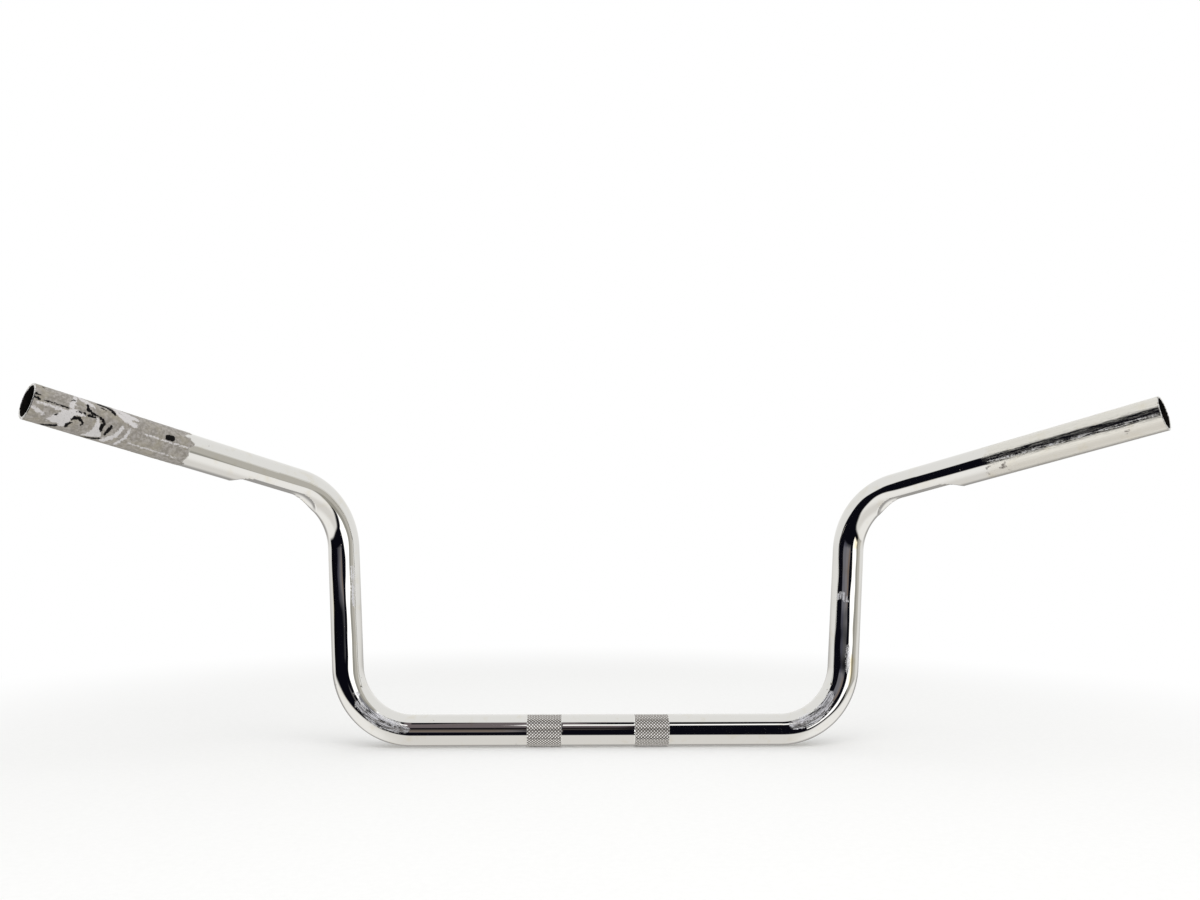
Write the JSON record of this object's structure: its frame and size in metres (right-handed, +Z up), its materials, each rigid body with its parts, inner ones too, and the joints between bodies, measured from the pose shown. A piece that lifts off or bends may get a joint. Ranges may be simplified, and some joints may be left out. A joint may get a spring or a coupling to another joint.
{
  "type": "motorcycle handlebar",
  "caption": "Chromed bent-tube motorcycle handlebar with a straight knurled clamp section, upright risers and grips that sweep back, dimpled underneath for wiring.",
  "frame": {"origin": "on the tube's axis in the middle of the straight clamp section, midway between the knurled bands", "axes": "+X along the clamp section to the rider's right, +Y forward, away from the rider, +Z up along the risers; the grips sweep back towards -Y"},
  "size_m": [0.8002, 0.1901, 0.2728],
  "materials": {
    "chrome": "bright decorative chrome on steel, with dull grey glue residue and fine scratches on the left grip and a lightly scratched right grip"
  },
  "bodies": {
    "root": {"handlebar": "chrome"}
  },
  "joints": []
}
